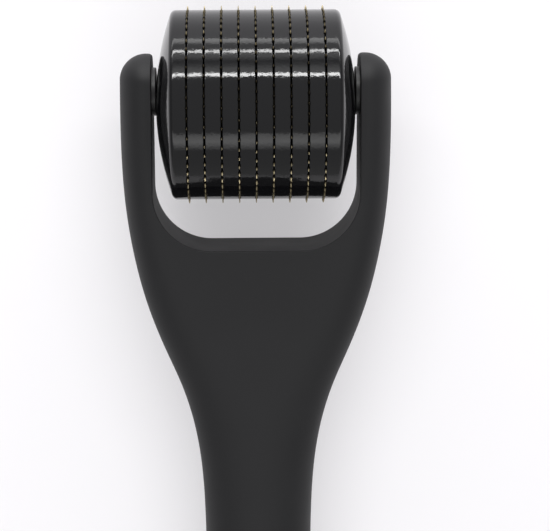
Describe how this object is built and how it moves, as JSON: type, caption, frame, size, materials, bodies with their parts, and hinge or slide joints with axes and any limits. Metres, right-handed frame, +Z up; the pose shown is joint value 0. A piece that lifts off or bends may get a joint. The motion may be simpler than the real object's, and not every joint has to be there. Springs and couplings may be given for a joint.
{
  "type": "derma roller",
  "caption": "Hand-held skin needling roller: a gloss black drum with rows of fine gold needles turns freely in the fork of a slim matt black handle.",
  "frame": {"origin": "on the resting surface, under the middle of the roller's box as it lies on its needle tips and heel", "axes": "+Z up; +Y along the roller from the tail of the handle to the drum; X along the drum's axle"},
  "size_m": [0.0316, 0.139, 0.023],
  "materials": {
    "soft_touch_black": "black ABS with a fine matt soft-touch coat",
    "gloss_black": "polished black polycarbonate, mirror gloss",
    "core_black": "plain moulded black plastic, unpolished",
    "bush_black": "black acetal, slightly waxy",
    "needle_gold": "stamped steel sheet with a titanium nitride gold coat",
    "shaft_steel": "ground stainless steel"
  },
  "bodies": {
    "handle": {"front_shell": "soft_touch_black", "rear_shell": "soft_touch_black", "left_bush": "bush_black", "right_bush": "bush_black"},
    "roller": {"roller_shaft": "shaft_steel", "drum_core": "core_black", "left_end_cap": "gloss_black", "right_end_cap": "gloss_black", "needle_disc_1": "needle_gold", "needle_disc_2": "needle_gold", "needle_disc_3": "needle_gold", "needle_disc_4": "needle_gold", "needle_disc_5": "needle_gold", "needle_disc_6": "needle_gold", "needle_disc_7": "needle_gold", "needle_disc_8": "needle_gold", "needle_disc_9": "needle_gold", "spacer_ring_1": "gloss_black", "spacer_ring_2": "gloss_black", "spacer_ring_3": "gloss_black", "spacer_ring_4": "gloss_black", "spacer_ring_5": "gloss_black", "spacer_ring_6": "gloss_black", "spacer_ring_7": "gloss_black", "spacer_ring_8": "gloss_black"}
  },
  "joints": [
    {"name": "roller_spin", "type": "hinge", "parent": "handle", "child": "roller", "pos_m": [0, 0.05798, 0.0115], "axis": [1, 0, 0], "continuous": true}
  ]
}
